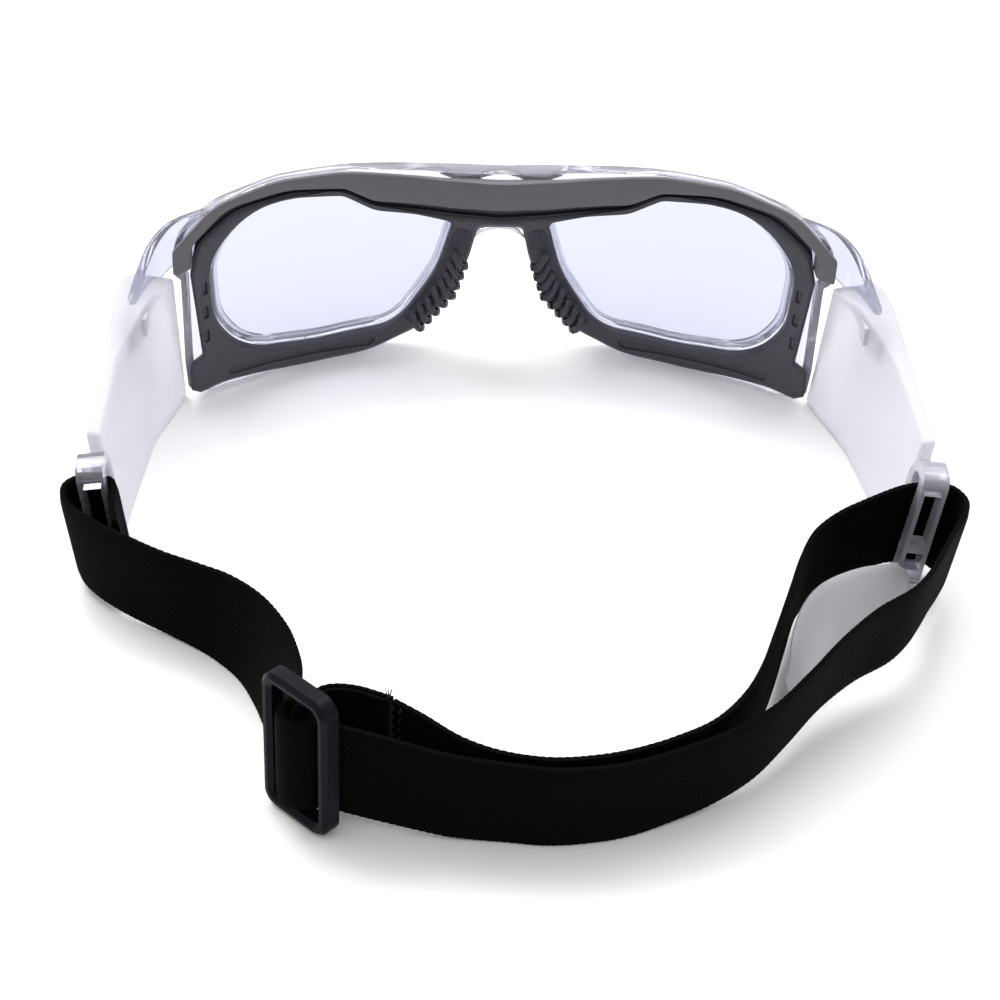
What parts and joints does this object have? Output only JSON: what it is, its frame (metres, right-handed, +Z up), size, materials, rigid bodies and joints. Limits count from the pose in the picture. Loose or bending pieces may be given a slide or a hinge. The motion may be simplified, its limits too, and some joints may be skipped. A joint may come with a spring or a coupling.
{
  "type": "sports protective goggles",
  "caption": "Wrap-round protective goggles with clear lenses and frame, soft face gasket and brow pad, flexing silicone temples and an adjustable elastic head strap.",
  "frame": {"origin": "middle of the footprint, on the surface the goggles stand on", "axes": "+Z up, +Y the way the goggles face, +X the wearer's right"},
  "size_m": [0.1554, 0.1528, 0.0434],
  "materials": {
    "clear_frame": "clear polycarbonate, polished",
    "lens": "clear polycarbonate, polished",
    "gasket": "matte soft elastomer",
    "brow": "matte foam-filled elastomer",
    "silicone": "frosted translucent silicone",
    "webbing": "woven elastic, matte black",
    "adjuster": "fine satin moulding",
    "stud": "clear, polished"
  },
  "bodies": {
    "front": {"front_frame": "clear_frame", "lens_left": "lens", "lens_right": "lens", "face_gasket": "gasket", "brow_pad": "brow", "nose_pad_left": "gasket", "nose_pad_right": "gasket", "strap_left_run": "webbing", "strap_outer_run": "webbing", "strap_inner_run": "webbing"},
    "arm_left": {"temple_link_left": "clear_frame", "link_stud_left": "stud", "temple_pad_left": "silicone", "strap_loop_left": "clear_frame", "temple_tip_left": "silicone", "strap_fold_left": "webbing"},
    "arm_right": {"temple_link_right": "clear_frame", "link_stud_right": "stud", "temple_pad_right": "silicone", "strap_loop_right": "clear_frame", "temple_tip_right": "silicone", "strap_fold_right": "webbing"},
    "slider": {"strap_slider": "adjuster", "strap_end_loop": "webbing"}
  },
  "joints": [
    {"name": "arm_left_flex", "type": "hinge", "parent": "front", "child": "arm_left", "pos_m": [-0.0646, 0.0492, 0.033], "axis": [0, 0, -1], "range_deg": [-10, 20], "stiffness_Nm_per_rad": 0.05, "deforming": ["strap_left_run"]},
    {"name": "arm_right_flex", "type": "hinge", "parent": "front", "child": "arm_right", "pos_m": [0.0646, 0.0492, 0.033], "axis": [0, 0, 1], "range_deg": [-10, 20], "stiffness_Nm_per_rad": 0.05, "deforming": ["strap_outer_run", "strap_inner_run"]},
    {"name": "slider_slide", "type": "slide", "parent": "front", "child": "slider", "axis": [0.7001, -0.7141, 0], "range_m": [-0.006, 0.006], "deforming": ["strap_left_run", "strap_outer_run", "strap_inner_run"]}
  ]
}
